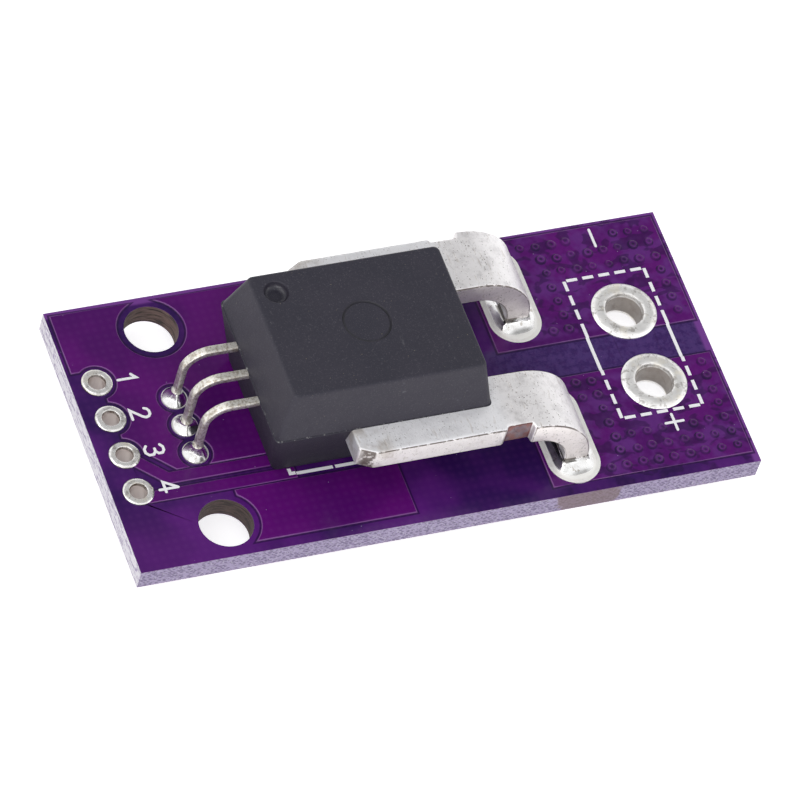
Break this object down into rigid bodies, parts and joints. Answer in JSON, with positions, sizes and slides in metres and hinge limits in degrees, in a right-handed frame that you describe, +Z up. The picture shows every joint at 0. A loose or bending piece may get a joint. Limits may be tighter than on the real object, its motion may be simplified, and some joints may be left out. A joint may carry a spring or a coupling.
{
  "type": "current sensor module",
  "caption": "Moulded hall sensor with two broad formed current terminals, soldered on a narrow purple board with header holes, wire holes and mounting holes.",
  "frame": {"origin": "centre of the board in plan, on the plane of the trimmed lead ends below it", "axes": "+X along the board from the header holes to the wire holes, +Y across it to the minus side, +Z up through the sensor"},
  "size_m": [0.0382, 0.0182, 0.0104],
  "materials": {
    "laminate": "woven glass epoxy laminate",
    "solder_mask": "glossy purple solder mask",
    "copper_foil": "bare copper foil",
    "tinned_land": "tinned copper",
    "legend_ink": "white printed ink",
    "case_epoxy": "moulded epoxy, fine matt",
    "terminal_plate": "matt tin plate over copper",
    "lead_plate": "matt tin plate",
    "solder": "bright solder",
    "core_iron": "soft magnetic iron",
    "die_silicon": "polished silicon",
    "bond_gold": "drawn gold wire"
  },
  "bodies": {
    "root": {"board_core": "laminate", "mask_top": "solder_mask", "mask_bottom": "solder_mask", "legend_lines": "legend_ink", "foil_top_plus": "copper_foil", "foil_top_minus": "copper_foil", "foil_top_ground": "copper_foil", "foil_top_front": "copper_foil", "trace_out_1": "copper_foil", "trace_out_2": "copper_foil", "foil_bottom_plus": "copper_foil", "foil_bottom_minus": "copper_foil", "foil_bottom_ground": "copper_foil", "trace_bottom_out": "copper_foil", "header_barrel_1": "tinned_land", "header_barrel_2": "tinned_land", "header_barrel_3": "tinned_land", "header_barrel_4": "tinned_land", "signal_barrel_1": "tinned_land", "signal_barrel_2": "tinned_land", "signal_barrel_3": "tinned_land", "wire_barrel_plus": "tinned_land", "wire_barrel_minus": "tinned_land", "slot_barrel_plus": "tinned_land", "slot_barrel_minus": "tinned_land", "sensor_case": "case_epoxy", "primary_conductor": "terminal_plate", "flux_core": "core_iron", "hall_die": "die_silicon", "signal_lead_1": "lead_plate", "signal_lead_2": "lead_plate", "signal_lead_3": "lead_plate", "bond_wire_1": "bond_gold", "bond_wire_2": "bond_gold", "bond_wire_3": "bond_gold", "signal_solder_1": "solder", "signal_solder_2": "solder", "signal_solder_3": "solder", "terminal_solder_plus": "solder", "terminal_solder_minus": "solder"}
  },
  "joints": []
}
